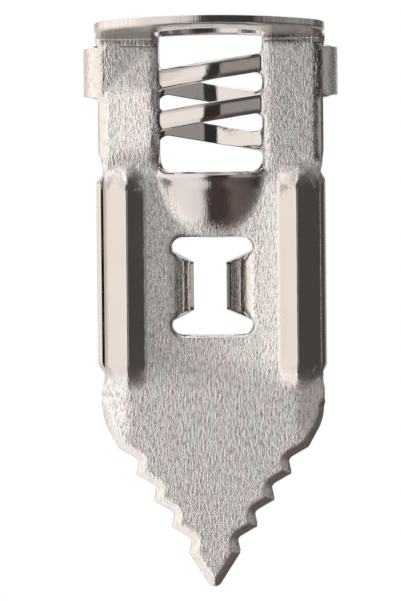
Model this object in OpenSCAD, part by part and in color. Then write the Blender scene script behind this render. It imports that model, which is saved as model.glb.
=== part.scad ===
// Hammer-in sheet-steel wall anchor. Two parallel pressed plates, joined by side folds, hang from a
// dished flange. Strips pressed alternately forwards and backwards make a right-hand thread for a
// screw, and below the bend line the plates are free legs that the screw wedges apart.
// Frame: the origin is on the screw axis in the plane of the wall, +Z points out of the wall towards
// the screw's head, and the front plate is on the -Y side. Millimetres.

/* [Sheet] */
// Thickness of the steel sheet
sheet_t = 0.6; // [0.5:0.05:0.8]
// Clear gap between the front and rear plates
plate_gap = 1.6; // [1.4:0.1:2.2]
// Clear gap between the sheared edges of the two legs' side lips
lip_gap = 0.2; // [0.2:0.05:0.4]

/* [Collar] */
// Width of the collar's walls
collar_w = 15.2; // [14.6:0.1:20]
// Width of the openings that the thread strips bridge
opening_w = 6.86; // [5.6:0.02:8.3]
// How far each side lug stands out past the collar's walls
lug_reach = 0.87; // [0.5:0.01:1.4]
// Height of the side lugs
lug_h = 3.2; // [2:0.1:4]
// Distance from the wall plane down to the top of the lugs
lug_top = 0.63; // [0.5:0.01:1.2]
// Depth of the notch in each side edge at the bend line
notch_depth = 0.35; // [0.2:0.05:0.8]
// Height of the notch above the bend line
notch_h = 0.5; // [0.3:0.05:0.8]

/* [Flange] */
// Distance from the middle of the anchor to the rim of each flange lip
flange_reach = 6.6; // [5.8:0.1:9]
// Angle at which each lip rises from the wall plane
dish_angle = 7.5; // [3:0.5:12]
// Radius of the rim's bow, seen from above
rim_bow_r = 13; // [10:0.5:20]
// Radius of the lip's corners
rim_corner_r = 1.6; // [1:0.1:2.2]
// Width of the bridge of metal between the screw slot and the rim
bridge_w = 2; // [1.5:0.1:2.5]
// Radius of the bow at the end of the screw slot
slot_bow_r = 5; // [4.5:0.1:8]
// Radius of the screw slot's corners
slot_corner_r = 0.5; // [0.3:0.05:0.8]
// Inner radius of the bend from the wall into the lip
bend_r = 0.3; // [0.2:0.05:0.5]

/* [Thread strips] */
// Pitch of the screw thread that the strips make
pitch = 2.72; // [2.5:0.02:3.4]
// Distance from the wall plane down to the middle of the first strip
first_strip = 2.2; // [2:0.05:3]
// Height of a strip
strip_h = 1.25; // [1:0.05:1.3]
// Angle at which a strip climbs
strip_slope = 9.6; // [5:0.2:11]
// Angle of a strip's flanks, away from the plate
strip_flank = 28; // [20:1:34]
// Radius of the middle of the sheet round a strip's nose
strip_nose_r = 0.65; // [0.5:0.05:1.2]
// Distance from the middle of the last strip down to the bend line
weak_zone = 1.92; // [1.9:0.02:3]

/* [Legs] */
// Length of the legs, from the bend line to the blade's shoulder
leg_l = 16.3; // [13.5:0.1:24]
// How far the blade's side edges stand back from the collar's
blade_inset = 0.2; // [0.1:0.05:0.6]
// Cut between a collar wall and its leg, along the bend line
bend_cut = 0.16; // [0.14:0.02:0.3]
// Distance from the bend line down to the mouth of the funnel
funnel_drop = 0.65; // [0.5:0.05:1]
// Length of the funnel
funnel_l = 4.25; // [3.8:0.05:4.8]
// Depth of the funnel's mouth, out from the plate
funnel_depth = 1.75; // [1.2:0.05:2.2]
// Angle at which the funnel's mouth slopes down towards its nose
funnel_sag = 14; // [5:1:20]

/* [Ribs] */
// Distance from the bend line down to the start of the ribs
rib_drop = 0.4; // [0.3:0.05:1]
// Distance from the end of the ribs down to the blade's shoulder
rib_clear = 1.3; // [1:0.1:3]
// Width of a rib, from its inner foot to the leg's plain edge
rib_w = 2.8; // [2.4:0.1:2.9]
// How far the ribs draw the leg's plain edge in from the blade's
edge_draw = 0.1; // [0.05:0.05:0.3]
// Distance of a rib's crest from its inner foot
crest_in = 1.13; // [0.9:0.01:1.4]
// Height of a rib's crest above the plate
crest_h = 0.9; // [0.5:0.05:1.1]
// How far the plain edge lies behind the face of the plate
edge_drop = 0.65; // [0.3:0.05:0.65]
// How far the crease of a side lip stands in from the plain edge
crease_in = 0.4; // [0.2:0.05:0.6]
// How far a side lip stands out past its crease
lip_out = 0.67; // [0.5:0.01:0.7]
// Distance from the end of the ribs up to the end of the side lips
lip_clear = 1; // [0.8:0.1:3]
// Length of the ramp at each end of a rib
ramp_l = 0.7; // [0.5:0.1:1.5]

/* [Window] */
// Distance from the bend line down to the window
window_drop = 5; // [4.9:0.1:6]
// Width of the window in each leg
window_w = 5.4; // [4.6:0.1:5.6]
// Height of the window
window_h = 6.5; // [5:0.1:6.8]
// Radius of the window's corners
window_r = 0.8; // [0.4:0.1:1.5]
// Height of a flap where it joins the window's side
flap_h = 4.7; // [3.5:0.1:4.9]
// Height of a flap's free edge
flap_edge_h = 3.2; // [2:0.1:3.4]
// Length of each front flap
front_flap_l = 1.1; // [0.8:0.05:1.2]
// Length of each rear flap
rear_flap_l = 1.75; // [1.2:0.05:1.8]
// Angle at which the front flaps are bent inwards
front_flap_angle = 45; // [30:1:48]
// Angle at which the rear flaps are bent inwards
rear_flap_angle = 38; // [30:1:42]

/* [Blade] */
// Radius of the blade's shoulders
shoulder_r = 3; // [2:0.1:5]
// Angle of the blade's side below its shoulder, from straight down
shoulder_angle = 30; // [24:1:36]
// Length of the straight edge between the shoulder and the first tooth
shoulder_edge = 1.38; // [0.6:0.02:2.5]
// Number of teeth on each side
tooth_count = 4; // [2:1:5]
// Height of the toothed stretch
saw_h = 7.02; // [6:0.02:10]
// Half the width of the blade at its last tooth
point_half_w = 1.7; // [1.3:0.1:2.2]
// Height of the point below the last tooth
point_h = 2.23; // [2:0.01:4]
// Radius of the tip
tip_r = 0.5; // [0.3:0.05:0.6]
// Angle of a tooth's lower flank, from straight down
tooth_flank = 60; // [50:1:65]
// Angle at which a tooth's upper flank leans outwards, from straight down
tooth_hook = 12; // [5:1:20]
// Radius of the gullet between two teeth
gullet_r = 0.42; // [0.3:0.02:0.5]

/* [Hidden] */
$fn = 72;
big = 60;
sliver = 0.02;
arc_steps = 6;
steel = [0.66, 0.64, 0.63];
bright = [0.78, 0.76, 0.75];
shade = [0.5, 0.48, 0.47];

half_gap = plate_gap / 2;
face = half_gap + sheet_t;
mid = half_gap + sheet_t / 2;
collar_half = collar_w / 2;
opening_half = opening_w / 2;
blade_half = collar_half - blade_inset;
neck_half = collar_half - notch_depth;

lug_x = collar_half + lug_reach - face;
lug_bottom = lug_top + lug_h;

bend_tangent = bend_r * tan((90 - dish_angle) / 2);
lip_run = (flange_reach - face) / cos(dish_angle);
slot_run = lip_run - bridge_w;

strip_step = pitch / 2;
bend_z = -(first_strip + 3 * strip_step + weak_zone);
shoulder_z = bend_z - leg_l;
strip_apex = mid + opening_half * tan(strip_flank);

funnel_top = bend_z - funnel_drop;
funnel_tilt = atan(funnel_depth / funnel_l);
funnel_reach = (pow(funnel_depth, 2) + pow(opening_half / cos(funnel_tilt), 2)) / (2 * funnel_depth);
funnel_r = funnel_reach * cos(funnel_tilt);

rib_top = bend_z - rib_drop;
rib_bottom = shoulder_z + rib_clear;
edge_x = blade_half - edge_draw;
foot_x = edge_x - rib_w;
crest_x = foot_x + crest_in;
crease_x = edge_x - crease_in;
crease_depth = face + crest_h - (crest_h + edge_drop) * (crease_x - crest_x) / (edge_x - crest_x);
lip_edge = lip_gap / 2;
lip_top = rib_top - ramp_l;
lip_bottom = rib_bottom + lip_clear;
lip_span = lip_top - lip_bottom;

window_top = bend_z - window_drop;
window_mid = window_top - window_h / 2;
window_half = window_w / 2;

saw_top = [blade_half - shoulder_r * (1 - cos(shoulder_angle)), shoulder_z - shoulder_r * sin(shoulder_angle)]
    + shoulder_edge * [-sin(shoulder_angle), -cos(shoulder_angle)];
saw_end = [point_half_w, saw_top[1] - saw_h];
tip_centre = [0, saw_end[1] - point_h + tip_r];

// Direction that leans from straight down towards the screw axis by an angle
function heading(angle) = [-sin(angle), -cos(angle)];

// Arc of a given radius from a point, turning from one heading to another
function turn(start, r, from, to) = let (side = to > from ? 1 : -1)
    [for (k = [0:arc_steps]) let (a = from + (to - from) * k / arc_steps)
        start + side * r * [cos(a) - cos(from), sin(from) - sin(a)]];

// Arc round a centre
function arc(centre, r, from, to, steps) =
    [for (k = [0:steps]) let (a = from + (to - from) * k / steps) centre + r * [cos(a), sin(a)]];

// Shape with straight sides and a bowed front edge with rounded corners
function bowed(half_w, back, front, bow_r, corner_r) = let (
    bow_centre = [0, front - bow_r],
    corner_x = half_w - corner_r,
    corner_y = bow_centre[1] + sqrt(pow(bow_r - corner_r, 2) - pow(corner_x, 2)),
    meet = atan2(corner_y - bow_centre[1], corner_x),
    bow_step = (90 - meet) / (2 * arc_steps))
    concat(
        [[-half_w, back], [half_w, back]],
        arc([corner_x, corner_y], corner_r, 0, meet, arc_steps),
        arc(bow_centre, bow_r, meet + bow_step, 180 - meet - bow_step, 3 * arc_steps),
        arc([-corner_x, corner_y], corner_r, 180 - meet, 180, arc_steps));

// Rectangle with rounded corners
function rounded(half_w, half_h, r) = let (x = half_w - r, y = half_h - r)
    concat(
        arc([x, y], r, 0, 90, arc_steps), arc([-x, y], r, 90, 180, arc_steps),
        arc([-x, -y], r, 180, 270, arc_steps), arc([x, -y], r, 270, 360, arc_steps));

// Normal on the left of the way from one point to the next
function left_of(from, to) = let (d = (to - from) / norm(to - from)) [-d[1], d[0]];

// Path shifted sideways by a distance, with mitred corners
function shifted(path, by) = let (last = len(path) - 1)
    [for (i = [0:last]) let (
        a = left_of(path[max(i, 1) - 1], path[max(i, 1)]),
        b = left_of(path[min(i, last - 1)], path[min(i, last - 1) + 1]))
        path[i] + by * (a + b) / (1 + a * b)];

// Closed outline of a sheet between two shifts of a path
function sheet_outline(path, low, high) = let (far = shifted(path, high), last = len(path) - 1)
    concat(shifted(path, low), [for (i = [last:-1:0]) far[i]]);

// Gullet after a tooth's tip, on the way to the next tip
function gullet(tip, next) = let (
    down = heading(tooth_flank),
    up = heading(-tooth_hook),
    curve = turn([0, 0], gullet_r, tooth_flank, -tooth_hook),
    rest = next - tip - curve[arc_steps],
    run = (rest[0] * up[1] - rest[1] * up[0]) / (down[0] * up[1] - down[1] * up[0]))
    [for (p = curve) tip + run * down + p];

function saw_tip(k) = saw_top + (saw_end - saw_top) * k / tooth_count;

// Right-hand edge of the blade, from its shoulder to the middle of its tip
function blade_edge() = let (
    reach = saw_end - tip_centre,
    lean = atan2(reach[0], reach[1]) - asin(tip_r / norm(reach)))
    concat(
        turn([blade_half, shoulder_z], shoulder_r, 0, shoulder_angle),
        [for (k = [0:tooth_count - 1]) each concat([saw_tip(k)], gullet(saw_tip(k), saw_tip(k + 1)))],
        [saw_end],
        arc(tip_centre, tip_r, -lean, -90, arc_steps));

// Left-hand half of an outline, back from the point before the one that lies on the middle line
function mirrored(points) = [for (i = [len(points) - 2:-1:0]) [-points[i][0], points[i][1]]];

// Flat piece of the front plate, from its outline seen from the front
module plate(points) {
    translate([0, -half_gap, 0]) rotate([90, 0, 0]) linear_extrude(sheet_t) polygon(points);
}

// Upright piece whose outline is given as sideways place and distance in front of the middle
module upright(points, bottom, top) {
    translate([0, 0, bottom]) linear_extrude(top - bottom) polygon([for (p = points) [p[0], -p[1]]]);
}

// Everything on the rear half is the front half's piece turned half round the screw axis
module rear() {
    rotate([0, 0, 180]) children();
}

// Section of the bend between the wall and the lip, swept along X over one side
module lip_bend(from, to) {
    outer = bend_r + sheet_t;
    translate([from, -face - bend_r, -bend_tangent]) rotate([90, 0, 90]) linear_extrude(to - from)
        intersection() {
            difference() {
                circle(outer);
                circle(bend_r);
            }
            polygon([[0, 0], [2 * outer, 0], [2 * outer, 2 * outer],
                2 * outer * [sin(dish_angle), cos(dish_angle)]]);
        }
}

module flange_lip() {
    translate([0, -face, 0]) rotate([-dish_angle, 0, 0]) mirror([0, 1, 0]) linear_extrude(sheet_t)
        difference() {
            polygon(bowed(collar_half, bend_tangent, lip_run, rim_bow_r, rim_corner_r));
            polygon(bowed(opening_half, -face, slot_run, slot_bow_r, slot_corner_r));
        }
    lip_bend(-collar_half, -opening_half);
    lip_bend(opening_half, collar_half);
}

// Right-hand half of the front collar wall
module wall() {
    plate([
        [opening_half, -bend_tangent], [collar_half, -bend_tangent], [collar_half, -lug_top],
        [lug_x, -lug_top], [lug_x, -lug_bottom], [collar_half, -lug_bottom],
        [collar_half, bend_z + notch_h], [neck_half, bend_z + bend_cut / 2],
        [opening_half, bend_z + bend_cut / 2]
    ]);
}

// Fold that joins the front and rear walls on the right
module lug() {
    translate([lug_x, 0, -lug_bottom]) linear_extrude(lug_h) intersection() {
        difference() {
            circle(face);
            circle(half_gap);
        }
        translate([0, -face]) square([2 * face, 2 * face]);
    }
}

// Strip pressed out of the front plate, climbing to the right
module strip(middle) {
    nose = arc([0, strip_apex - strip_nose_r / cos(strip_flank)], strip_nose_r,
        90 - strip_flank, 90 + strip_flank, arc_steps);
    root = [opening_half, mid] + [cos(strip_flank), -sin(strip_flank)];
    path = concat([root], nose, [[-root[0], root[1]]]);
    intersection() {
        upright(sheet_outline(path, -sheet_t / 2, sheet_t / 2), middle - big / 2, middle + big / 2);
        translate([0, 0, middle]) rotate([0, -strip_slope, 0])
            cube([big, big, strip_h * cos(strip_slope)], center = true);
        translate([0, 0, middle]) cube([opening_w, big, big], center = true);
    }
}

// Slanting cylinder that shapes the funnel, at a given radius
module funnel_core(r) {
    translate([0, funnel_reach - face, funnel_top - funnel_l]) rotate([funnel_tilt, 0, 0])
        cylinder(h = big, r = r, center = true);
}

module leg() {
    difference() {
        plate(concat(
            [[opening_half, funnel_top], [opening_half, bend_z - bend_cut / 2],
                [neck_half, bend_z - bend_cut / 2], [crease_x, rib_top], [foot_x, rib_top],
                [foot_x, rib_bottom], [blade_half, rib_bottom], [blade_half, shoulder_z],
                [-blade_half, shoulder_z], [-blade_half, rib_bottom], [-foot_x, rib_bottom],
                [-foot_x, rib_top], [-edge_x, rib_top], [-neck_half, bend_z - bend_cut / 2],
                [-opening_half, bend_z - bend_cut / 2], [-opening_half, funnel_top]]));
        translate([0, 0, window_mid]) plate_cut(rounded(window_half, window_h / 2, window_r));
        funnel_core(funnel_r - sheet_t);
    }
}

module plate_cut(points) {
    rotate([90, 0, 0]) linear_extrude(big, center = true) polygon(points);
}

module funnel() {
    intersection() {
        difference() {
            funnel_core(funnel_r);
            funnel_core(funnel_r - sheet_t);
        }
        translate([-big / 2, -big - face, funnel_top - big]) cube([big, big, big]);
        translate([0, -face, funnel_top]) rotate([funnel_sag, 0, 0])
            translate([-big / 2, -big / 2, -big]) cube([big, big, big]);
    }
}

// A rib's outer face in section: over the crest to the plain edge, or on round the crease of the side lip
function rib_outer(lipped) = concat(
    [[foot_x, face], [crest_x, face + crest_h]],
    lipped ? [[crease_x, crease_depth], [crease_x + lip_out, lip_edge]] : [[edge_x, face - edge_drop]]);
function rib_inner(lipped) = shifted(rib_outer(lipped), -sheet_t);
function inner_flank(lipped) = let (o = rib_outer(lipped), i = rib_inner(lipped))
    [o[0], o[1], i[1], [foot_x, half_gap]];
function outer_flank(lipped) = let (o = rib_outer(lipped), i = rib_inner(lipped)) [o[1], o[2], i[2], i[1]];
function flat_flank(from, to) = [[from, face], [to, face], [to, half_gap], [from, half_gap]];

// Run-out of one flank from the full rib down to the flat plate
module ramp(full, flat, full_z, flat_z) {
    lift = sliver * sign(flat_z - full_z);
    hull() {
        upright(full, min(full_z, full_z + lift), max(full_z, full_z + lift));
        upright(flat, min(flat_z, flat_z - lift), max(flat_z, flat_z - lift));
    }
}

// Right-hand rib of the front leg, with or without the lip that closes the side
module rib(lipped) {
    end_x = lipped ? crease_x : edge_x;
    upright(inner_flank(lipped), rib_bottom + ramp_l, rib_top - ramp_l);
    upright(outer_flank(lipped), rib_bottom + ramp_l, rib_top - ramp_l);
    for (end = [[rib_top - ramp_l, rib_top], [rib_bottom + ramp_l, rib_bottom]]) {
        ramp(inner_flank(lipped), flat_flank(foot_x, crest_x), end[0], end[1]);
        ramp(outer_flank(lipped), flat_flank(crest_x, end_x), end[0], end[1]);
    }
    if (lipped) side_lip();
}

// Lip from the crease back towards the other leg, with its corners cut off
module side_lip() {
    outer = rib_outer(true);
    inner = rib_inner(true);
    onward = outer[3] - outer[2];
    intersection() {
        upright([outer[2], outer[3] + onward, inner[3] + onward, inner[2]], lip_bottom, lip_top);
        translate([0, -big / 2 - lip_edge, (lip_top + lip_bottom) / 2]) cube(big, center = true);
        translate([crease_x + lip_out, 0, (lip_top + lip_bottom) / 2]) plate_cut([
            [-crease_x, -lip_span / 2], [-lip_out, -lip_span / 2], [0, -lip_span / 2 + lip_out],
            [0, lip_span / 2 - lip_out], [-lip_out, lip_span / 2], [-crease_x, lip_span / 2]]);
    }
}

// Flap bent inwards from the right-hand side of the window
module flap(length, angle) {
    path = [[window_half + sheet_t, mid], [window_half, mid],
        [window_half - length * cos(angle), mid - length * sin(angle)]];
    free_x = window_half - length * cos(angle) - sheet_t;
    intersection() {
        upright(sheet_outline(path, -sheet_t / 2, sheet_t / 2), window_mid - flap_h, window_mid + flap_h);
        translate([0, 0, window_mid]) plate_cut([
            [window_half, -flap_h / 2], [window_half, flap_h / 2],
            [free_x, flap_edge_h / 2], [free_x, -flap_edge_h / 2]]);
    }
}

module flap_pair(length, angle) {
    flap(length, angle);
    mirror([1, 0, 0]) flap(length, angle);
}

module blade() {
    plate(concat(blade_edge(), mirrored(blade_edge())));
}

module front_flange_lip() { color(bright) flange_lip(); }
module rear_flange_lip() { color(bright) rear() flange_lip(); }
module front_right_wall() { color(steel) wall(); }
module front_left_wall() { color(steel) mirror([1, 0, 0]) wall(); }
module rear_left_wall() { color(steel) rear() wall(); }
module rear_right_wall() { color(steel) rear() mirror([1, 0, 0]) wall(); }
module right_lug() { color(shade) lug(); }
module left_lug() { color(bright) mirror([1, 0, 0]) lug(); }
module front_upper_strip() { color(bright) strip(-first_strip); }
module rear_upper_strip() { color(shade) rear() strip(-first_strip - strip_step); }
module front_lower_strip() { color(bright) strip(-first_strip - 2 * strip_step); }
module rear_lower_strip() { color(shade) rear() strip(-first_strip - 3 * strip_step); }
module front_leg() { color(steel) leg(); }
module front_funnel() { color(bright) funnel(); }
module front_right_rib() { color(shade) rib(true); }
module front_left_rib() { color(bright) mirror([1, 0, 0]) rib(false); }
module front_flaps() { color(shade) flap_pair(front_flap_l, front_flap_angle); }
module front_blade() { color(steel) blade(); }
module rear_leg() { color(steel) rear() leg(); }
module rear_funnel() { color(shade) rear() funnel(); }
module rear_left_rib() { color(shade) rear() rib(true); }
module rear_right_rib() { color(shade) rear() mirror([1, 0, 0]) rib(false); }
module rear_flaps() { color(shade) rear() flap_pair(rear_flap_l, rear_flap_angle); }
module rear_blade() { color(steel) rear() blade(); }

front_flange_lip();
rear_flange_lip();
front_left_wall();
front_right_wall();
rear_left_wall();
rear_right_wall();
left_lug();
right_lug();
front_upper_strip();
rear_upper_strip();
front_lower_strip();
rear_lower_strip();
front_leg();
front_funnel();
front_left_rib();
front_right_rib();
front_flaps();
front_blade();
rear_leg();
rear_funnel();
rear_left_rib();
rear_right_rib();
rear_flaps();
rear_blade();
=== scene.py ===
"""Looks of a hammer-in sheet-steel wall anchor. The front and rear halves are each one pressed sheet,
worked out as a flat blank with its cut-outs and then formed: flange bend, side folds, thread strips,
funnel, ribs, window flaps and coined cutting edge. Lengths in the sheet's own code are millimetres: x runs
across the sheet, s runs up along it, and a height stands outwards from its flat middle."""
import math

import bpy
import numpy as np
from mathutils import Matrix, Vector, geometry


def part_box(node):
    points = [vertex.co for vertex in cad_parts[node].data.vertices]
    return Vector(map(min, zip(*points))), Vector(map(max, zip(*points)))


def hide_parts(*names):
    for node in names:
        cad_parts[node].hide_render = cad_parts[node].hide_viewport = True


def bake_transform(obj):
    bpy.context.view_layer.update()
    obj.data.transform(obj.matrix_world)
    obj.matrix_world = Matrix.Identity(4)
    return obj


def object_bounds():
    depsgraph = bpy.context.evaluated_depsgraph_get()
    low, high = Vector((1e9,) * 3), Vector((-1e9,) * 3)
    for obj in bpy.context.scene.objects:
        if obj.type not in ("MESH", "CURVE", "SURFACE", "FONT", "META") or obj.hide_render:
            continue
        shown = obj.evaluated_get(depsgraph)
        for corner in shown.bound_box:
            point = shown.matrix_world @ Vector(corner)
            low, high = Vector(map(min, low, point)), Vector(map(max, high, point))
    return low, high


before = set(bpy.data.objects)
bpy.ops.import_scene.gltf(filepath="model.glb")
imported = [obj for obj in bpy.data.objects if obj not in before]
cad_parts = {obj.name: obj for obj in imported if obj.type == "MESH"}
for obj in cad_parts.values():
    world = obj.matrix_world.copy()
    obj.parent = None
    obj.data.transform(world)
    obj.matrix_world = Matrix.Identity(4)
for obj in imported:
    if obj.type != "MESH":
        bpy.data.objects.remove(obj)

cad_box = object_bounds()
MM = 0.001


def corners(node):
    """Lowest and highest corner of a CAD node, in millimetres."""
    low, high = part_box(node)
    return np.array(low) / MM, np.array(high) / MM


# -------------------- sizes, from the frame where it has them
wall_low, wall_high = corners("front_right_wall")
blade_low, blade_high = corners("front_blade")
rib_low, rib_high = corners("front_right_rib")
flaps_low, flaps_high = corners("front_flaps")
lug_low, lug_high = corners("right_lug")
leg_high = corners("front_leg")[1]
funnel_high = corners("front_funnel")[1]
lip_low = corners("front_flange_lip")[0]

# the front half's outer face and the middle of its sheet, measured from the plane between the halves
FACE = -blade_low[1]
SHEET_T = blade_high[1] - blade_low[1]
MID = FACE - SHEET_T / 2
COLLAR_HALF = wall_high[0]
OPENING_HALF = corners("front_upper_strip")[1][0]
BLADE_HALF = blade_high[0]
BEND_Z = (wall_low[2] + leg_high[2]) / 2
SHOULDER_Z = blade_high[2]
RIB_TOP = rib_high[2]
RIB_BOTTOM = rib_low[2]
FOOT_X = rib_low[0]
LUG_TOP = lug_high[2]
LUG_BOTTOM = lug_low[2]

# flange
BEND_INSIDE_R = 0.3
BEND_R = BEND_INSIDE_R + SHEET_T / 2
DISH = math.radians(7.5)
BEND_ANGLE = math.pi / 2 - DISH
BEND_TANGENT = BEND_INSIDE_R * math.tan(BEND_ANGLE / 2)
BEND_START = -BEND_TANGENT
BEND_END = BEND_START + BEND_R * BEND_ANGLE
LIP_RUN = (-lip_low[1] - FACE) / math.cos(DISH)
RIM_BOW_R = 13.0
RIM_CORNER_R = 1.6
BRIDGE_W = 2.0
SLOT_BOW_R = 5.0
SLOT_CORNER_R = 0.5

# side folds and rolled margins
FOLD_R = MID
LUG_FOLD_X = lug_high[0] - FACE
LUG_ROOT_X = LUG_FOLD_X + 1.0
LUG_END_X = LUG_FOLD_X + FOLD_R * math.pi / 2
MARGIN_FOLD_X = COLLAR_HALF - 0.85
WALL_EDGE = COLLAR_HALF - 0.15
NECK_X = COLLAR_HALF - 0.1
NECK_BOTTOM = BEND_Z - 0.05
NECK_TOP = BEND_Z + 0.1
NECK_END = BEND_Z + 0.5
NOTCH_DEPTH = {-1: 0.3, 1: 0.1}
FOLD_FADE = 0.8

# thread strips
STRIP_H = 1.25
STRIP_SLOPE = math.tan(math.radians(9.6))
STRIP_FLANK = 1.02 * math.tan(math.radians(28))
STRIP_REACH = 0.6
STRIP_FADE = 0.55
NOSE_W = 0.9
ROOT_W = 0.28
SLIT_END_R = 0.45
THIRD_FOOT_R = 0.6

# ribs and side lip: a foot, a crest, and a flank down to the level of the flat again
CREST_X = FOOT_X + 1.13
CREST_H = 0.95
RISE = CREST_H / (CREST_X - FOOT_X)
FLANK = 0.93
LEVEL_X = CREST_X + CREST_H / FLANK
FOOT_FILLET = 0.15
CREST_FILLET = 0.1
LEVEL_FILLET = 0.01
CREST_OFFSET = 0.4
RAMP_L = 1.9
RAMP_PAST = 0.3
CRISP_HALF_W = 0.45
CRISP_FADE = 0.3
EDGE_STEP_LOW = RIB_BOTTOM - 0.2
EDGE_STEP_HIGH = RIB_BOTTOM + 0.5
PLAIN_EDGE_X = BLADE_HALF - 0.3
PLAIN_EDGE_TOP = RIB_TOP - 0.4
CREASE_X = BLADE_HALF - 0.4
CREASE_FILLET = 0.1
LIP_ROOT_X = CREASE_X + 0.25
LIP_ROOT_TOP = RIB_TOP - 0.2
LIP_SLOPE = 1.5
LIP_TOP = RIB_TOP - 0.3
LIP_BOTTOM = RIB_BOTTOM + 1.0
MARGIN_SLOPE = 0.31
MARGIN_FILLET = 0.3
MARGIN_TOP = RIB_TOP + 0.6
MARGIN_TOP_FADE = 0.9
MARGIN_END = SHOULDER_Z - 3.6
MARGIN_END_FADE = 3.2

# funnel
FUNNEL_TOP = funnel_high[2]
FUNNEL_L = 4.25
FUNNEL_DEPTH = 1.75
FUNNEL_SAG = 0.08
FUNNEL_BOWL = 1.5
FUNNEL_FILLET = 0.25
FUNNEL_PAST = 1.0
FUNNEL_FADE = 0.8
FUNNEL_TILT = math.atan(FUNNEL_DEPTH / FUNNEL_L)
FUNNEL_REACH = (FUNNEL_DEPTH ** 2 + (OPENING_HALF / math.cos(FUNNEL_TILT)) ** 2) / (2 * FUNNEL_DEPTH)
FUNNEL_R = FUNNEL_REACH * math.cos(FUNNEL_TILT)

# window
WINDOW_HALF = flaps_high[0]
WINDOW_MID = (flaps_low[2] + flaps_high[2]) / 2
WINDOW_HALF_H = 3.25
WINDOW_R = 0.75
FLAP_HALF_H = (flaps_high[2] - flaps_low[2]) / 2
FLAP_EDGE_HALF_H = 1.6
FLAP_CORNER_R = 0.12
HINGE_X = WINDOW_HALF - 0.05
HINGE_FILLET = 0.15
HINGE_PAST = 0.35
HINGE_FADE = 0.3

# blade
SHOULDER_R = 3.0
SHOULDER_ANGLE = 30
SHOULDER_EDGE = 1.38
TOOTH_COUNT = 4
SAW_H = 7.02
POINT_HALF_W = 1.7
TIP_R = 0.5
TOOTH_FLANK = 60
TOOTH_HOOK = 12
GULLET_R = 0.42
COIN_W = 0.6
COIN_DEPTH = 0.33

# metal rolled over at the sheared edges, dragged inwards beside the openings, and drawn in between the ribs
ROLL_W = 0.27
ROLL_DEPTH = 0.14
WEAR_CURVE = 1.4
MOUTH_ROLL_W = 0.55
MOUTH_ROLL_DEPTH = 0.12
MOUTH_ROLL_IN = 0.8
MOUTH_ROLL_FADE = 0.5
HOLLOW = 0.5
HOLLOW_PAST = 0.4
HOLLOW_TOP_FADE = 1.5
HOLLOW_END_FADE = 2.5

# crease in the left wall, where pressing the strips dragged the metal outwards, and the right wall's slope
DENT_LOW = (-7.0, -3.5)
DENT_HIGH = (-4.3, -1.0)
DENT_SLOPE = math.tan(math.radians(10))
DENT_FALL = math.tan(math.radians(6))
DENT_FILLET = 0.06
DENT_CURVE = 0.6
CROWN_SLOPE = math.tan(math.radians(4))
WALL_FILLET = 0.1
WALL_PAST = 0.4
WALL_FADE = 1.6

# mesh: its grid step, how near the even grid lines may come to the extra ones, the least gap between columns,
# the distances of the rows of points beside every edge and beside the coined one, the share of its distance
# that such a row keeps from other edges, the smallest triangle (mm2), the smallest gap in such a row, the
# step that a normal is taken over, and a distance that counts as far from any opening
EDGE_BREAK = 0.05
STEP = 0.2
GRID_GAP = 0.09
COLUMN_GAP = 0.035
EDGE_ROWS = (0.11, 0.18, ROLL_W)
COIN_ROWS = (0.33, 0.42, 0.51, COIN_W)
ROW_CLEARANCE = 0.93
SLIVER = 1e-6
CROWDED = 0.02
SMALL = 0.015
FAR = 9.0


# -------------------- outlines of the blank: (across, along) pairs
def arc(centre, r, start, end, steps=8):
    """Points of an arc, its angles in degrees from the +across direction."""
    angles = np.radians(np.linspace(start, end, steps + 1))
    return [(centre[0] + r * math.cos(a), centre[1] + r * math.sin(a)) for a in angles]


def rounded(points, radii):
    """Closed outline with each corner rounded by its radius. A nearly straight corner is left alone."""
    out = []
    count = len(points)
    for i, (corner, r) in enumerate(zip(points, radii)):
        corner = np.array(corner, float)
        back = np.array(points[i - 1], float) - corner
        onward = np.array(points[(i + 1) % count], float) - corner
        back /= np.linalg.norm(back)
        onward /= np.linalg.norm(onward)
        half = math.acos(max(-1.0, min(1.0, float(back @ onward)))) / 2
        if r <= 0 or half > math.radians(88):
            out.append(tuple(corner))
            continue
        centre = corner + (back + onward) / np.linalg.norm(back + onward) * r / math.sin(half)
        start = corner + back * r / math.tan(half) - centre
        end = corner + onward * r / math.tan(half) - centre
        a = math.atan2(start[1], start[0])
        sweep = (math.atan2(end[1], end[0]) - a + math.pi) % (2 * math.pi) - math.pi
        steps = max(3, int(abs(sweep) * r / 0.12) + 2)
        for k in range(steps + 1):
            angle = a + sweep * k / steps
            out.append((centre[0] + r * math.cos(angle), centre[1] + r * math.sin(angle)))
    return out


def lip_s(run):
    """Place along the blank of a distance along the lip."""
    return BEND_END + run - BEND_TANGENT


def bow(half_w, front, bow_r, corner_r):
    """Front edge of the lip or of the screw slot, from its right side to its left."""
    corner_x = half_w - corner_r
    corner_y = front - bow_r + math.sqrt((bow_r - corner_r) ** 2 - corner_x ** 2)
    meet = math.degrees(math.atan2(corner_y - (front - bow_r), corner_x))
    return (arc((corner_x, corner_y), corner_r, 0, meet)
            + arc((0, front - bow_r), bow_r, meet, 180 - meet, 24)[1:-1]
            + arc((-corner_x, corner_y), corner_r, 180 - meet, 180))


def heading(angle):
    """Direction that leans from straight down towards the screw axis."""
    return np.array([-math.sin(math.radians(angle)), -math.cos(math.radians(angle))])


def turn(start, r, begin, end, steps=6):
    """Arc from a point, turning from one heading to another."""
    side = 1 if end > begin else -1
    b = math.radians(begin)
    out = []
    for a in np.radians(np.linspace(begin, end, steps + 1)):
        moved = np.array([math.cos(a) - math.cos(b), math.sin(b) - math.sin(a)])
        out.append(np.array(start) + side * r * moved)
    return out


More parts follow.
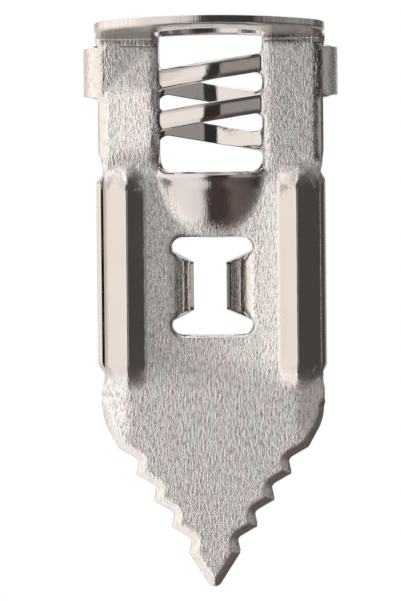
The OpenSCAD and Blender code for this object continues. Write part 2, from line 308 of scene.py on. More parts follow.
def blade_edge():
    """Right-hand edge of the blade, from its shoulder down round its saw teeth to the middle of the tip."""
    points = turn((BLADE_HALF, SHOULDER_Z), SHOULDER_R, 0, SHOULDER_ANGLE, 10)
    saw_top = points[-1] + SHOULDER_EDGE * heading(SHOULDER_ANGLE)
    saw_end = np.array([POINT_HALF_W, saw_top[1] - SAW_H])
    for k in range(TOOTH_COUNT):
        tip = saw_top + (saw_end - saw_top) * k / TOOTH_COUNT
        rest = saw_top + (saw_end - saw_top) * (k + 1) / TOOTH_COUNT - tip
        curve = turn((0, 0), GULLET_R, TOOTH_FLANK, -TOOTH_HOOK)
        down, up = heading(TOOTH_FLANK), heading(-TOOTH_HOOK)
        gap = rest - curve[-1]
        run = (gap[0] * up[1] - gap[1] * up[0]) / (down[0] * up[1] - down[1] * up[0])
        points += [tip] + [tip + run * down + p for p in curve]
    tip_centre = np.array([0, blade_low[2] + TIP_R])
    reach = saw_end - tip_centre
    lean = math.degrees(math.atan2(reach[0], reach[1]) - math.asin(TIP_R / np.linalg.norm(reach)))
    points += [saw_end] + [np.array(p) for p in arc(tip_centre, TIP_R, -lean, -90, 6)]
    return [tuple(p) for p in points]


def side_edge(side, lip_x):
    """One side of the blank, from the blade's shoulder up to the rim's corner. Its side lip is left out
    where lip_x is None."""
    neck = NECK_X - NOTCH_DEPTH[side]
    points = [(BLADE_HALF, SHOULDER_Z), (BLADE_HALF, EDGE_STEP_LOW)]
    if lip_x:
        cut = lip_x - CREASE_X
        points += [(LIP_ROOT_X, EDGE_STEP_HIGH), (LIP_ROOT_X, LIP_BOTTOM), (lip_x, LIP_BOTTOM + cut),
                   (lip_x, LIP_TOP - cut), (LIP_ROOT_X, LIP_TOP), (LIP_ROOT_X, LIP_ROOT_TOP)]
    else:
        points += [(PLAIN_EDGE_X, EDGE_STEP_HIGH), (PLAIN_EDGE_X, PLAIN_EDGE_TOP)]
    points += [(neck, NECK_BOTTOM), (neck, NECK_TOP), (WALL_EDGE, NECK_END),
               (WALL_EDGE, LUG_BOTTOM - 0.1), (LUG_ROOT_X, LUG_BOTTOM), (LUG_END_X, LUG_BOTTOM),
               (LUG_END_X, LUG_TOP), (LUG_ROOT_X, LUG_TOP), (WALL_EDGE, LUG_TOP + 0.08),
               (COLLAR_HALF, BEND_START), (COLLAR_HALF, BEND_END)]
    return [(side * x, s) for x, s in points]


def spread(points, longest=0.22):
    """Closed outline with its long edges divided."""
    out = []
    for a, b in zip(points, points[1:] + points[:1]):
        a, b = np.array(a, float), np.array(b, float)
        length = np.linalg.norm(b - a)
        if length < 1e-6:
            continue
        count = max(1, math.ceil(length / longest))
        out += [a + (b - a) * k / count for k in range(count)]
    return np.array(out)


def outer_outline(lip_x):
    """The blank's whole outer edge, with a side lip on its right side only."""
    right = side_edge(1, lip_x)
    left = side_edge(-1, None)
    rim = [(x, lip_s(run)) for x, run in bow(COLLAR_HALF, LIP_RUN, RIM_BOW_R, RIM_CORNER_R)]
    edge = blade_edge()
    mirrored = [(-x, s) for x, s in edge[:-1]]
    return spread(edge[::-1][:-1] + right + rim + left[::-1] + mirrored[1:])


def strip_edge(middle, sign, x):
    """Where a strip's upper (1) or lower (-1) edge is at a place across."""
    return middle + sign * STRIP_H / 2 + STRIP_SLOPE * x


def openings(strips):
    """Outlines of the screw slot with the first opening, the slit, and the third opening."""
    a, b = strips
    w = OPENING_HALF
    slot = [(x, lip_s(run)) for x, run in bow(w, LIP_RUN - BRIDGE_W, SLOT_BOW_R, SLOT_CORNER_R)]
    foot = [(-w, strip_edge(a, 1, -w)), (w, strip_edge(a, 1, w))]
    first = rounded([slot[-1], foot[0], foot[1], slot[0]], [0, SLIT_END_R, SLIT_END_R, 0])
    slit = rounded([(-w, strip_edge(b, 1, -w)), (w, strip_edge(b, 1, w)),
                    (w, strip_edge(a, -1, w)), (-w, strip_edge(a, -1, -w))], [SLIT_END_R] * 4)
    third = rounded([(-w, FUNNEL_TOP), (w, FUNNEL_TOP),
                     (w, strip_edge(b, -1, w)), (-w, strip_edge(b, -1, -w))],
                    [THIRD_FOOT_R, THIRD_FOOT_R, SLIT_END_R, SLIT_END_R])
    return [spread(first + slot[1:-1]), spread(slit), spread(third)]


def window(flap_run, longer):
    """The window's outline round its two flaps, the left one longer by the amount given."""
    w, top, hinge = WINDOW_HALF, WINDOW_HALF_H, FLAP_HALF_H
    free = w - flap_run
    left_free = longer - free
    right = [(w, -hinge), (free, -FLAP_EDGE_HALF_H), (free, FLAP_EDGE_HALF_H), (w, hinge)]
    left = [(-w, hinge), (left_free, FLAP_EDGE_HALF_H), (left_free, -FLAP_EDGE_HALF_H), (-w, -hinge)]
    radii = [FLAP_CORNER_R] * 4
    points = [(-w, -top), (w, -top)] + right + [(w, top), (-w, top)] + left
    sizes = [WINDOW_R, WINDOW_R] + radii + [WINDOW_R, WINDOW_R] + radii
    return spread([(x, WINDOW_MID + s) for x, s in rounded(points, sizes)])


def clockwise(loop):
    """Whether an outline runs clockwise, by the sign of its area."""
    x, s = loop[:, 0], loop[:, 1]
    return float(np.sum(x * np.roll(s, -1) - np.roll(x, -1) * s)) < 0


def inset(loop, by):
    """Outline moved into the metal, which lies on its left."""
    ahead = np.roll(loop, -1, axis=0) - loop
    ahead /= np.linalg.norm(ahead, axis=1)[:, None]
    left = np.stack([-ahead[:, 1], ahead[:, 0]], axis=1)
    before = np.roll(left, 1, axis=0)
    mitre = (left + before) / (1 + np.clip(np.sum(left * before, axis=1), -0.5, 1))[:, None]
    return loop + by * mitre


def thinned(row):
    """Row without the points that crowd together inside a tight corner."""
    return row[np.linalg.norm(np.roll(row, -1, axis=0) - row, axis=1) > CROWDED]


# -------------------- forming: from the blank to the pressed sheet
def smooth(t):
    """0 up to 0, 1 from 1 on, and an eased step in between."""
    t = np.clip(t, 0, 1)
    return t * t * (3 - 2 * t)


def ramp(u, w):
    """Zero below the kink and u above it, rounded over a half width."""
    return np.where(u <= -w, 0, np.where(u >= w, u, (np.clip(u, -w, w) + w) ** 2 / (4 * w)))


def on_strip(x, s, strips):
    """1 on a strip, fading out just past its edges."""
    gaps = [np.abs(s - middle - STRIP_SLOPE * x) - STRIP_H / 2 for middle in strips]
    return smooth((STRIP_REACH - np.min(gaps, axis=0)) / STRIP_FADE)


def strip_height(x, s, strips):
    """A strip stands out on two flanks, with a rounded nose and rounded roots."""
    away = ramp(x, NOSE_W) + ramp(-x, NOSE_W)
    height = STRIP_FLANK * ramp(OPENING_HALF - ROOT_W - away, ROOT_W)
    return height * on_strip(x, s, strips)


def rib_height(x, s):
    """Both ribs with the margins beside them; the right one goes on round the crease of the side lip."""
    a = np.abs(x)
    full = smooth((RIB_TOP + RAMP_PAST - s) / RAMP_L) * smooth((s - RIB_BOTTOM + RAMP_PAST) / RAMP_L)
    crest = RISE * ramp(a - FOOT_X, FOOT_FILLET) - (RISE + FLANK) * ramp(a - CREST_X, CREST_FILLET)
    crest = crest + FLANK * ramp(a - LEVEL_X, LEVEL_FILLET)
    lip = np.where(x > 0, (LIP_SLOPE - FLANK) * ramp(a - CREASE_X, CREASE_FILLET), 0) * full
    start = CREST_X + (LEVEL_X - CREST_X) * full
    slope = MARGIN_SLOPE + (FLANK - MARGIN_SLOPE) * full
    reach = smooth((MARGIN_TOP - s) / MARGIN_TOP_FADE) * smooth((s - MARGIN_END) / MARGIN_END_FADE)
    fillet = MARGIN_FILLET + (LEVEL_FILLET - MARGIN_FILLET) * full
    margin = slope * ramp(a - start, fillet)
    return crest * full - (margin + lip) * reach


def funnel_height(x, s):
    """Half a cone, standing out furthest where the third opening ends and running out into the leg."""
    section = FUNNEL_REACH * (np.sqrt(np.clip(1 - (x / FUNNEL_R) ** 2, 0, 1)) - 1)
    down = np.maximum(FUNNEL_TOP - s, 0) / FUNNEL_L
    rise = section + FUNNEL_DEPTH * (1 - down ** FUNNEL_BOWL)
    return ramp(rise, FUNNEL_FILLET) * smooth((FUNNEL_TOP + FUNNEL_PAST - s) / FUNNEL_FADE)


def flap_height(x, s, flap_angle):
    """Flaps fall away from the window's sides."""
    near = (np.abs(s - WINDOW_MID) < WINDOW_HALF_H + 0.2) * (np.abs(x) < WINDOW_HALF + 0.3)
    hinge = smooth((FLAP_HALF_H + HINGE_PAST - np.abs(s - WINDOW_MID)) / HINGE_FADE)
    return -math.tan(flap_angle) * ramp(HINGE_X - np.abs(x), HINGE_FILLET) * near * hinge


def hollow_height(x, s):
    """The flat between the ribs is drawn slightly inwards along its middle."""
    a = np.minimum(np.abs(x), FOOT_X) / FOOT_X
    reach = smooth((FUNNEL_TOP + HOLLOW_PAST - s) / HOLLOW_TOP_FADE)
    return HOLLOW * (a ** 2 - 1) * reach * smooth((s - RIB_BOTTOM + HOLLOW_PAST) / HOLLOW_END_FADE)


def mouth_roll(x, s):
    """Metal dragged inwards beside the openings when they were punched."""
    outwards = 1 - smooth((np.abs(x) - OPENING_HALF) / MOUTH_ROLL_W)
    inwards = smooth((np.abs(x) - OPENING_HALF + MOUTH_ROLL_IN) / MOUTH_ROLL_IN)
    return -MOUTH_ROLL_DEPTH * outwards * inwards * smooth((s - FUNNEL_TOP) / MOUTH_ROLL_FADE)


def wall_height(x, s):
    """The left wall is creased where its metal was dragged; the right wall slopes gently to its fold."""
    lean = (DENT_HIGH[0] - DENT_LOW[0]) / (DENT_HIGH[1] - DENT_LOW[1])
    crease = DENT_LOW[0] + lean * ramp(s - DENT_LOW[1], DENT_CURVE)
    wall = np.minimum(x, -OPENING_HALF)
    left = (DENT_SLOPE + DENT_FALL) * ramp(wall - crease, DENT_FILLET)
    left = left - DENT_FALL * ramp(wall + MARGIN_FOLD_X, WALL_FILLET)
    left = left * np.where(x > -OPENING_HALF, np.clip(-x / OPENING_HALF, 0, 1), 1)
    right = CROWN_SLOPE * ramp(MARGIN_FOLD_X - np.maximum(x, OPENING_HALF), WALL_FILLET)
    right = right * np.clip(x / OPENING_HALF, 0, 1)
    return (left + right) * smooth((s - BEND_Z + WALL_PAST) / WALL_FADE)


def formed(x, s, shape):
    """Middle of the formed sheet in the half's own frame: across, front to back, and up."""
    funnel = funnel_height(x, s)
    flat = smooth((BEND_START - s) / 0.2)
    height = (strip_height(x, s, shape["strips"]) + rib_height(x, s) + funnel
              + flap_height(x, s, shape["flap_angle"]) + wall_height(x, s)
              + mouth_roll(x, s) + hollow_height(x, s)) * flat
    sag = FUNNEL_SAG * funnel * smooth((s - FUNNEL_TOP + FUNNEL_L) / FUNNEL_L)

    angle = np.clip((s - BEND_START) / BEND_R, 0, BEND_ANGLE)
    beyond = np.maximum(s - BEND_END, 0)
    out = MID + height + BEND_R * (1 - np.cos(angle)) + beyond * math.cos(DISH)
    up = np.minimum(s, BEND_START) + BEND_R * np.sin(angle) + beyond * math.sin(DISH) - sag

    in_lug = smooth((s - LUG_BOTTOM + 0.35) / 0.3) * smooth((LUG_TOP + 0.15 - s) / 0.1)
    start = MARGIN_FOLD_X + (LUG_FOLD_X - MARGIN_FOLD_X) * in_lug
    weight = smooth((s - BEND_Z) / FOLD_FADE) * smooth((BEND_START - 0.02 - s) / 0.3)
    past = np.maximum(np.abs(x) - start, 0)
    fold = np.minimum(past / FOLD_R, math.pi / 2)
    across = np.abs(x) + weight * (FOLD_R * np.sin(fold) - past)
    out = out - weight * FOLD_R * (1 - np.cos(fold))
    return np.stack([np.sign(x) * across, -out, up], axis=-1)


def normals(x, s, shape):
    """Outward normal of the formed sheet, from its slope over a small step."""
    along_x = formed(x + SMALL, s, shape) - formed(x - SMALL, s, shape)
    along_s = formed(x, s + SMALL, shape) - formed(x, s - SMALL, shape)
    n = np.cross(along_x, along_s)
    return n / np.linalg.norm(n, axis=-1)[:, None]


def skin_offset(blank, normal, by):
    """Way from the middle to a skin: along the normal, but straight outwards at a rib's crest, to keep it
    crisp."""
    x, s = blank[:, 0], blank[:, 1]
    crisp = smooth((CRISP_HALF_W - np.abs(np.abs(x) - CREST_X)) / CRISP_FADE)
    crisp = crisp * smooth((RIB_TOP - s) / RAMP_L) * smooth((s - RIB_BOTTOM) / RAMP_L)
    straight = np.array([0, -CREST_OFFSET / (SHEET_T / 2), 0])
    return (normal * (1 - crisp)[:, None] + straight * crisp[:, None]) * by[:, None]


def edge_distance(points, path):
    """Distance from each point to the nearest place on a path."""
    best = np.full(len(points), 1e9)
    for a, b in zip(path[:-1], path[1:]):
        ab = b - a
        t = np.clip(((points - a) @ ab) / max(float(ab @ ab), 1e-12), 0, 1)
        best = np.minimum(best, np.linalg.norm(points - a - t[:, None] * ab, axis=1))
    return best


def closed(loop):
    """Outline as a path that comes back to its first point."""
    return np.vstack([loop, loop[:1]])


def inside(points, loops):
    """Whether each point is in the metal, by counting crossings."""
    result = np.zeros(len(points), bool)
    for loop in loops:
        for (ax, ay), (bx, by) in zip(loop, np.roll(loop, -1, axis=0)):
            if ay == by:
                continue
            between = (ay > points[:, 1]) != (by > points[:, 1])
            crossing = (bx - ax) * (points[:, 1] - ay) / (by - ay) + ax
            result ^= between & (points[:, 0] < crossing)
    return result


def columns():
    """Places across the sheet: closer together round the ribs and folds."""
    fine = []
    for middle, reach, gap in ((FOOT_X, 0.24, 0.06), (CREST_X, 0.12, 0.04), (LEVEL_X, 0.1, 0.1),
                               (CREASE_X, 0.15, 0.05), (COLLAR_HALF - 0.5, 0.5, 0.08)):
        fine += list(np.arange(middle - reach, middle + reach + 0.001, gap))
    coarse = [v for v in np.arange(0, LUG_FOLD_X + 2, STEP) if min(abs(v - f) for f in fine) > GRID_GAP]
    half = sorted(set(np.round(fine + coarse, 3)))
    kept = [half[0]]
    for v in half[1:]:
        if v - kept[-1] > COLUMN_GAP:
            kept.append(v)
    return np.array([-v for v in kept[:0:-1]] + kept)


def rows():
    """Places along the sheet: closer together in the flange bend and at the ribs' ends."""
    top = lip_s(LIP_RUN)
    fine = list(np.arange(BEND_START - 0.2, BEND_END + 0.05, 0.09))
    for z in (RIB_TOP, RIB_BOTTOM + RAMP_L):
        fine += list(np.arange(z - RAMP_L, z + 0.05, 0.12))
    coarse = [v for v in np.arange(blade_low[2], top, STEP) if min(abs(v - f) for f in fine) > GRID_GAP]
    return np.array(sorted(fine + coarse))


def rounding(gap, width, depth):
    """How far the outer skin falls towards a coined or sheared edge."""
    near = np.clip(1 - gap / width, 0, 1)
    return depth * near ** WEAR_CURVE


# -------------------- building one half
def outlines(shape):
    """The blank's outer outline and then its cut-outs, each with the metal on its left."""
    outer = outer_outline(shape["lip_x"])
    holes = openings(shape["strips"]) + [window(shape["flap_run"], shape["flap_longer"])]
    return ([outer[::-1] if clockwise(outer) else outer]
            + [hole if clockwise(hole) else hole[::-1] for hole in holes])


def cutting_edge():
    """The coined edge, from the right shoulder round the tip to the left shoulder."""
    blade = np.array(blade_edge())
    return np.vstack([blade, (blade[:-1] * [-1, 1])[::-1]])


def blank_points(loops, insets, edge):
    """Points for the skins: the inset outlines, rows that follow the edges, and a grid for the rest."""
    grid_x, grid_s = np.meshgrid(columns(), rows())
    grid = np.stack([grid_x.ravel(), grid_s.ravel()], axis=1)
    grid = grid[inside(grid, insets)]
    gap = np.min([edge_distance(grid, closed(loop)) for loop in insets], axis=0)
    grid = grid[(gap > ROLL_W + 0.06) & (edge_distance(grid, edge) > COIN_W + 0.08)]
    layers = []
    for offset in EDGE_ROWS:
        for loop in loops:
            row = thinned(inset(loop, offset))
            row = row[inside(row, insets)]
            near = np.min([edge_distance(row, closed(other)) for other in loops], axis=0)
            layers.append(row[near > ROW_CLEARANCE * offset])
    for offset in COIN_ROWS:
        row = thinned(inset(loops[0], offset))
        gap = edge_distance(row, edge)
        row = row[(gap > ROW_CLEARANCE * offset) & (gap < offset * 1.1)]
        layers.append(row[inside(row, insets)])
    return np.vstack(insets + layers + [grid])


def triangulated(points, insets):
    """The blank's points, its triangles without slivers, and where each given point ended up."""
    edges, at = [], 0
    for loop in insets:
        edges += [(at + i, at + (i + 1) % len(loop)) for i in range(len(loop))]
        at += len(loop)
    result = geometry.delaunay_2d_cdt([Vector(p) for p in points], edges, [], 0, 1e-7)
    blank = np.array([tuple(v) for v in result[0]])
    triangles = np.array(result[2])
    triangles = triangles[inside(blank[triangles].mean(axis=1), insets)]
    a, b, c = (blank[triangles[:, i]] for i in range(3))
    area = ((b[:, 0] - a[:, 0]) * (c[:, 1] - a[:, 1]) - (b[:, 1] - a[:, 1]) * (c[:, 0] - a[:, 0])) / 2
    triangles[area < 0] = triangles[area < 0][:, ::-1]
    origin = {old: new for new, olds in enumerate(result[3]) for old in olds}
    return blank, triangles[np.abs(area) > SLIVER], origin


def skins(blank, loops, edge, opening_gap, shape):
    """Outer and inner skin over the blank. The outer one falls towards coined and sheared edges."""
    middle = formed(blank[:, 0], blank[:, 1], shape)
    normal = normals(blank[:, 0], blank[:, 1], shape)
    rim_gap = np.minimum(edge_distance(blank, closed(loops[0])), opening_gap)
    on_lug = np.abs(blank[:, 0]) > COLLAR_HALF
    worn = np.maximum(rounding(edge_distance(blank, edge), COIN_W, COIN_DEPTH),
                      np.where(on_lug, 0, rounding(rim_gap, ROLL_W, ROLL_DEPTH)))
    return [middle + skin_offset(blank, normal, SHEET_T / 2 - worn),
            middle - skin_offset(blank, normal, np.full(len(blank), SHEET_T / 2))]


def cut_face(loop, edge, shape):
    """Outer and inner border of the sheet's cut face along one outline, its corners slightly broken."""
    x, s = loop[:, 0], loop[:, 1]
    middle = formed(x, s, shape)
    normal = normals(x, s, shape)
    rolled = np.where(np.abs(x) > COLLAR_HALF, 0, ROLL_DEPTH)
    worn = np.where(edge_distance(loop, edge) < 1e-4, COIN_DEPTH, rolled)
    joined = np.abs(x) > LUG_END_X - 1e-3
    broken = np.where(joined, 0, EDGE_BREAK)
    return [middle + normal * (SHEET_T / 2 - broken - worn)[:, None],
            middle - normal * (SHEET_T / 2 - broken)[:, None]]


def build_half(name, shape, turned):
    """One half of the anchor: two skins over the blank, joined by the cut faces along its outlines."""
    loops = outlines(shape)
    insets = [inset(loop, EDGE_BREAK) for loop in loops]
    edge = cutting_edge()
    blank, triangles, origin = triangulated(blank_points(loops, insets, edge), insets)
    count = len(blank)
    opening_gap = np.min([edge_distance(blank, closed(loop)) for loop in loops[1:]], axis=0)

    verts = skins(blank, loops, edge, opening_gap, shape)
    sheet = [blank, blank]
    punched = [opening_gap, opening_gap]
    faces = [tuple(t) for t in triangles] + [tuple(t[::-1] + count) for t in triangles]
    sharp = set()
    base, at = 2 * count, 0
    for loop in loops:
        size = len(loop)
        verts += cut_face(loop, edge, shape)
        sheet += [loop, loop]
        punched.append(np.full(2 * size, FAR if loop is loops[0] else 0.0))
        # at each place of the outline, the points from the outer skin through the cut face to the inner skin
        through = [(origin[at + i], base + i, base + size + i, count + origin[at + i]) for i in range(size)]
        for here, there in zip(through, through[1:] + through[:1]):
            faces += [(there[n], here[n], here[n + 1], there[n + 1]) for n in range(3)]
            sharp |= {frozenset(pair) for pair in zip(here, there)}
        base += 2 * size
        at += size

    sheet = np.vstack(sheet)
    worked = np.maximum(polish(sheet[:, 0], sheet[:, 1], shape),
                        smooth(1.1 - np.concatenate(punched) / ROLL_W))
    worked = np.maximum(worked, 0.6 * smooth((COIN_W - edge_distance(sheet, edge)) / 0.2))
    place = np.vstack(verts) * MM
    if turned:
        place = place * [-1, -1, 1]
    return sheet_object(name, place, faces, sharp, sheet, worked)


def sheet_object(name, place, faces, sharp, sheet, worked):
    """Mesh object with its sharp edges, and its blank places and burnishing as attributes."""
    mesh = bpy.data.meshes.new(name)
    mesh.from_pydata([tuple(p) for p in place], [], faces)
    mesh.validate()
    mesh.polygons.foreach_set("use_smooth", [True] * len(mesh.polygons))
    for e in mesh.edges:
        if frozenset(e.vertices) in sharp:
            e.use_edge_sharp = True
    flat = np.column_stack([sheet, np.zeros(len(sheet))]).ravel().astype(np.float32)
    mesh.attributes.new("sheet", "FLOAT_VECTOR", "POINT").data.foreach_set("vector", flat)
    mesh.attributes.new("polish", "FLOAT", "POINT").data.foreach_set("value", worked.astype(np.float32))
    mesh.update()
    piece = bpy.data.objects.new(name, mesh)
    bpy.context.scene.collection.objects.link(piece)
    return piece


def polish(x, s, shape):
    """How far the press has burnished the brushed skin: 1 on strips, ribs, funnel and the flange's rim, and
    less on lugs, folds, flaps and the metal drawn or dragged beside them."""
    strips = on_strip(x, s, shape["strips"]) * (np.abs(x) < OPENING_HALF + 0.05)
    ribs = smooth((np.abs(x) - FOOT_X + 0.1) / 0.35)
    ribs = ribs * smooth((RIB_TOP - s) / 1.5) * smooth((s - RIB_BOTTOM) / 1.5)
    funnel = smooth(funnel_height(x, s) / 0.8)
    lugs = 0.3 * smooth((np.abs(x) - WALL_EDGE) / 0.15) * (s > LUG_BOTTOM - 0.3)
    flange = 0.6 * smooth((s - BEND_START + 0.25) / 0.3) + 0.4 * smooth((s - lip_s(LIP_RUN - 1.2)) / 0.6)
    folds = 0.7 * smooth((np.abs(x) - MARGIN_FOLD_X + 0.2) / 0.5) * (s > BEND_Z) * (np.abs(x) < COLLAR_HALF)
    flaps = 0.7 * smooth((WINDOW_HALF + 0.05 - np.abs(x)) / 0.1) * (np.abs(s - WINDOW_MID) < FLAP_HALF_H)
    dragged = 0.35 * smooth(wall_height(np.minimum(x, -OPENING_HALF), s) / 0.2) * (x < 0.2 - OPENING_HALF)
    drawn = 0.3 * smooth((x - WINDOW_HALF) / 0.5)
    drawn = drawn * smooth((FUNNEL_TOP - s) / 2) * smooth((s - RIB_BOTTOM) / 2)
    return np.max([strips, ribs, funnel, lugs, flange, folds, flaps, dragged, drawn], axis=0)


# -------------------- material
GRAIN_DARK, GRAIN_LIGHT = (0.44, 0.425, 0.415, 1), (1.0, 0.99, 0.98, 1)
PLATE_WARM, PLATE_COOL = (0.90, 0.84, 0.83, 1), (0.86, 0.87, 0.845, 1)
# white of the painted glints: specks in the base colour that stand in for tiny highlights
PAINTED_GLINT = (1.0, 1.0, 1.0, 1)
BURNISHED = (0.555, 0.52, 0.495, 1)
PLAIN_METALLIC = 0.74


def node(tree, kind, **values):
    """New shader node. A value named in_... sets that input, and any other sets a property."""
    made = tree.nodes.new(kind)
    for key, value in values.items():
        if key.startswith("in_"):
            made.inputs[key[3:].replace("_", " ")].default_value = value
        else:
            setattr(made, key, value)
    return made


def noise(tree, vector, across, along, detail, seed=0.0):
    """Noise on the blank, with its own fineness across and along the strip."""
    stretch = node(tree, "ShaderNodeMapping")
    stretch.inputs["Scale"].default_value = (across, along, 1)
    stretch.inputs["Location"].default_value = (seed, seed, seed)
    tree.links.new(vector, stretch.inputs["Vector"])
    made = node(tree, "ShaderNodeTexNoise", in_Scale=1.0, in_Detail=detail, in_Roughness=0.6)
    tree.links.new(stretch.outputs["Vector"], made.inputs["Vector"])
    return made.outputs["Fac"]


def fit(tree, value, low, high, to_low, to_high):
    """Value carried from one range to another, and held at its ends."""
    made = node(tree, "ShaderNodeMapRange")
    for key, number in (("From Min", low), ("From Max", high), ("To Min", to_low), ("To Max", to_high)):
        made.inputs[key].default_value = number
    tree.links.new(value, made.inputs["Value"])
    return made.outputs["Result"]


def maths(tree, operation, a, b):
    """Result of a sum on two sockets or numbers."""
    made = node(tree, "ShaderNodeMath", operation=operation)
    for socket, value in zip(made.inputs, (a, b)):
        if isinstance(value, (int, float)):
            socket.default_value = value
        else:
            tree.links.new(value, socket)
    return made.outputs["Value"]


def mix(tree, factor, a, b, blend_type="MIX"):
    """Two colours mixed; each is a socket or a plain colour."""
    made = node(tree, "ShaderNodeMix", data_type="RGBA", blend_type=blend_type)
    for socket, value in ((made.inputs["Factor"], factor), (made.inputs[6], a), (made.inputs[7], b)):
        if isinstance(value, tuple):
            socket.default_value = value
        else:
            tree.links.new(value, socket)
    return made.outputs[2]


def bump(tree, height, strength, distance, below=None):
    """Normal of a bumped skin, on top of another bump if there is one."""
    made = node(tree, "ShaderNodeBump", in_Strength=strength, in_Distance=distance)
    tree.links.new(height, made.inputs["Height"])
    if below:
        tree.links.new(below, made.inputs["Normal"])
    return made.outputs["Normal"]


def plated_steel():
    """Bright-plated strip steel: fine grain along the strip where plain, and smooth where the press has
    worked it. Plain areas are partly non-metallic, which softens their reflections."""
    material = bpy.data.materials.new("plated_steel")
    material.use_nodes = True
    tree = material.node_tree
    shader = tree.nodes["Principled BSDF"]
    sheet = node(tree, "ShaderNodeAttribute", attribute_name="sheet").outputs["Vector"]
    worked = node(tree, "ShaderNodeAttribute", attribute_name="polish").outputs["Fac"]
    streaks = noise(tree, sheet, 7.0, 2.1, 2.0)
    fine = noise(tree, sheet, 15.0, 6.5, 1.0, 7.3)
    patches = noise(tree, sheet, 0.45, 0.3, 2.0, 3.1)
    tint = noise(tree, sheet, 1.6, 0.5, 2.0, 11.7)
    specks = noise(tree, sheet, 11.0, 6.0, 1.0, 5.9)
    waves = noise(tree, sheet, 0.8, 0.5, 1.0, 2.2)

    plain = maths(tree, "SUBTRACT", 1.0, worked)
    grain = maths(tree, "ADD", streaks, maths(tree, "MULTIPLY", fine, 0.6))
    shade = mix(tree, fit(tree, grain, 0.60, 0.82, 0, 1), GRAIN_DARK, GRAIN_LIGHT)
    plate = mix(tree, fit(tree, tint, 0.42, 0.6, 0, 1), PLATE_WARM, PLATE_COOL)
    # painted highlights: white specks mixed into the base colour stand in for glints on the plated skin
    painted_glints = mix(tree, fit(tree, specks, 0.66, 0.74, 0, 1), plate, PAINTED_GLINT)
    bright = mix(tree, worked, painted_glints, BURNISHED)
    brushed = mix(tree, maths(tree, "MULTIPLY", plain, 0.8), bright, shade, "MULTIPLY")
    tree.links.new(brushed, shader.inputs["Base Color"])

    satin = maths(tree, "ADD", 0.36, maths(tree, "MULTIPLY", fit(tree, specks, 0.35, 0.65, -1, 1), 0.06))
    burnished = fit(tree, patches, 0.35, 0.65, 0.07, 0.14)
    satin = maths(tree, "MULTIPLY", satin, plain)
    burnished = maths(tree, "MULTIPLY", burnished, worked)
    rough = maths(tree, "ADD", satin, burnished)
    tree.links.new(rough, shader.inputs["Roughness"])
    tree.links.new(fit(tree, worked, 0, 0.5, PLAIN_METALLIC, 1), shader.inputs["Metallic"])

    depth = maths(tree, "MULTIPLY", grain, maths(tree, "ADD", maths(tree, "MULTIPLY", plain, 0.9), 0.1))
    grained = bump(tree, depth, 0.6, 0.09 * MM)
    tree.links.new(bump(tree, waves, 0.5, 0.06 * MM, grained), shader.inputs["Normal"])
    return material


# -------------------- camera
VIEW_HEIGHT = 39.85 * MM
DISTANCE = 0.25
EYE = Vector((5.2 * MM, -FACE * MM - DISTANCE, -11.5 * MM))
AIM = Vector((-0.78 * MM, -FACE * MM, -17.4 * MM))
ROLL = math.radians(-0.55)
SENSOR_W = 36


def photo_camera():
    """Long lens from in front, a little to the right of the middle and a little above it."""
    data = bpy.data.cameras.new("camera")
    data.sensor_fit = "AUTO"
    data.sensor_width = SENSOR_W
    data.lens = SENSOR_W * (AIM - EYE).length / VIEW_HEIGHT
    data.clip_start = 0.01
    data.clip_end = 20
    camera = bpy.data.objects.new("camera", data)
    bpy.context.scene.collection.objects.link(camera)
    camera.matrix_world = (Matrix.Translation(EYE) @ (AIM - EYE).to_track_quat("-Z", "Y").to_matrix().to_4x4()
                           @ Matrix.Rotation(ROLL, 4, "Z"))
    bpy.context.scene.camera = camera


# -------------------- studio
WARM, WHITE, GREY = (1.62, 1.53, 1.46), (1.3, 1.3, 1.3), (0.53, 0.515, 0.51)
DARK, BLACK = (0.05, 0.045, 0.042), (0.11, 0.105, 0.1)
UNDER_CAMERA, OVER_CAMERA = (0.1, 0.075, 0.07), (0.12, 0.115, 0.11)
SIDE = (0.9, 0.86, 0.82)
CEILING = (2.0, 2.0, 2.0, 1)
LIGHT_STRENGTH = 0.92
SEEN_WHITE = (1.087, 1.087, 1.087, 1)

# colours round the horizon: degrees from the camera's side, growing to the right, and the colour there
LEVEL = ((-180, WHITE), (-130, SIDE), (-106, SIDE), (-92, (1.6, 1.5, 1.42)), (-60, WARM),
         (-12, (1.58, 1.56, 1.53)), (-4, DARK), (28, DARK), (35, GREY), (66, GREY), (73, BLACK), (96, BLACK),
         (99, (0.9, 0.9, 0.9)), (102, BLACK), (120, BLACK), (138, (0.6, 0.6, 0.6)), (160, WHITE))
BELOW = ((-180, (0.8, 0.77, 0.75)), (-95, (1.4, 1.33, 1.3)), (-50, (1.5, 1.45, 1.42)),
         (-20, (1.3, 1.3, 1.27)), (-8, UNDER_CAMERA), (24, UNDER_CAMERA), (38, (0.24, 0.19, 0.18)),
         (60, (0.2, 0.16, 0.15)), (80, BLACK), (120, BLACK), (160, (0.6, 0.58, 0.56)))
ABOVE = ((-180, (0.9, 0.9, 0.9)), (-60, (1.3, 1.25, 1.2)), (-25, (1.0, 1.0, 1.0)), (-8, OVER_CAMERA),
         (80, OVER_CAMERA), (120, (0.3, 0.3, 0.3)), (160, (0.9, 0.9, 0.9)))


def horizon(tree, turned, stops):
    """Ring of colours round the object."""
    ring = node(tree, "ShaderNodeValToRGB")
    band = ring.color_ramp
    while len(band.elements) > 1:
        band.elements.remove(band.elements[0])
    for i, (degrees, colour) in enumerate(stops):
        place = (degrees + 180) / 360
        stop = band.elements[0] if i == 0 else band.elements.new(place)
        stop.position = place
        stop.color = (*colour, 1)
    tree.links.new(turned, ring.inputs["Fac"])
    return ring.outputs["Color"]


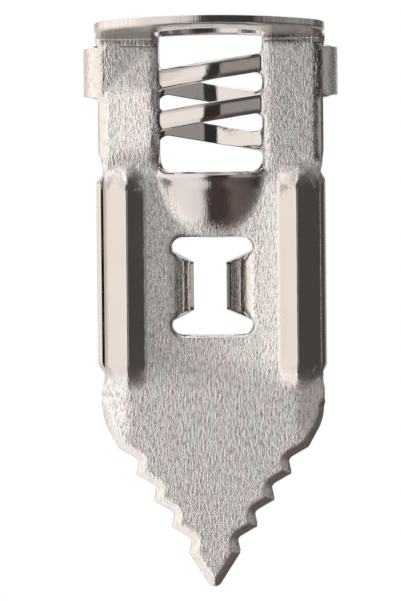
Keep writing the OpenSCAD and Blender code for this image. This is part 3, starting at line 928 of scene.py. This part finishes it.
def studio():
    """Soft surroundings: bright on the left and overhead, dark where the camera stands and on the right. The
    camera itself sees plain white."""
    world = bpy.data.worlds.new("studio")
    bpy.context.scene.world = world
    world.use_nodes = True
    tree = world.node_tree
    background = tree.nodes["Background"]
    split = node(tree, "ShaderNodeSeparateXYZ")
    tree.links.new(node(tree, "ShaderNodeTexCoord").outputs["Generated"], split.inputs["Vector"])
    x, y, z = (split.outputs[k] for k in "XYZ")
    azimuth = maths(tree, "ARCTAN2", x, maths(tree, "MULTIPLY", y, -1.0))
    turned = fit(tree, azimuth, -math.pi, math.pi, 0, 1)

    sunk = fit(tree, z, -0.08, -0.42, 0, 1)
    risen = fit(tree, z, 0.2, 0.5, 0, 1)
    top = fit(tree, z, 0.75, 0.97, 0, 1)
    low = mix(tree, sunk, horizon(tree, turned, LEVEL), horizon(tree, turned, BELOW))
    high = mix(tree, top, horizon(tree, turned, ABOVE), CEILING)
    seen = node(tree, "ShaderNodeLightPath").outputs["Is Camera Ray"]
    tree.links.new(mix(tree, seen, mix(tree, risen, low, high), SEEN_WHITE), background.inputs["Color"])
    background.inputs["Strength"].default_value = LIGHT_STRENGTH


def floor():
    """Floor 50 mm under the tip, plain white to the camera and left out of the metal's reflections."""
    drop = cad_box[0][2] - 50 * MM
    reach = 3.0
    square = ((-reach, -reach), (reach, -reach), (reach, reach), (-reach, reach))
    mesh = bpy.data.meshes.new("floor")
    mesh.from_pydata([(x, y, drop) for x, y in square], [], [(0, 1, 2, 3)])
    plane = bpy.data.objects.new("floor", mesh)
    bpy.context.scene.collection.objects.link(plane)
    material = bpy.data.materials.new("floor")
    material.use_nodes = True
    tree = material.node_tree
    shader = tree.nodes["Principled BSDF"]
    shader.inputs["Base Color"].default_value = (0.9, 0.9, 0.9, 1)
    shader.inputs["Roughness"].default_value = 0.9
    glow = node(tree, "ShaderNodeEmission")
    seen = node(tree, "ShaderNodeLightPath").outputs["Is Camera Ray"]
    blend = node(tree, "ShaderNodeMixShader")
    tree.links.new(seen, blend.inputs[0])
    tree.links.new(shader.outputs["BSDF"], blend.inputs[1])
    tree.links.new(glow.outputs["Emission"], blend.inputs[2])
    tree.links.new(blend.outputs["Shader"], tree.nodes["Material Output"].inputs["Surface"])
    mesh.materials.append(material)
    plane.visible_glossy = False


photo_camera()
studio()
floor()
bpy.context.scene.view_settings.view_transform = "Standard"

steel = plated_steel()
REGIONS = ("flange_lip", "left_wall", "right_wall", "upper_strip", "lower_strip", "leg", "funnel",
           "left_rib", "right_rib", "flaps", "blade")

# each half's window flaps, the left one longer by flap_longer, and how far across its side lip ends
FRONT = {"flap_angle": math.radians(45), "flap_run": 0.8, "flap_longer": 0.0, "lip_x": BLADE_HALF + 0.08}
REAR = {"flap_angle": math.radians(38), "flap_run": 1.4, "flap_longer": 0.28, "lip_x": BLADE_HALF + 0.2}

for half, turned, lug, shape in (("front", False, "left_lug", FRONT), ("rear", True, "right_lug", REAR)):
    strips = [sum(box[2] for box in corners(f"{half}_{which}_strip")) / 2 for which in ("upper", "lower")]
    piece = build_half(f"{half}_half_sheet", {**shape, "strips": strips}, turned)
    piece.data.materials.append(steel)
    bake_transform(piece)
    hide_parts(*[f"{half}_{region}" for region in REGIONS], lug)
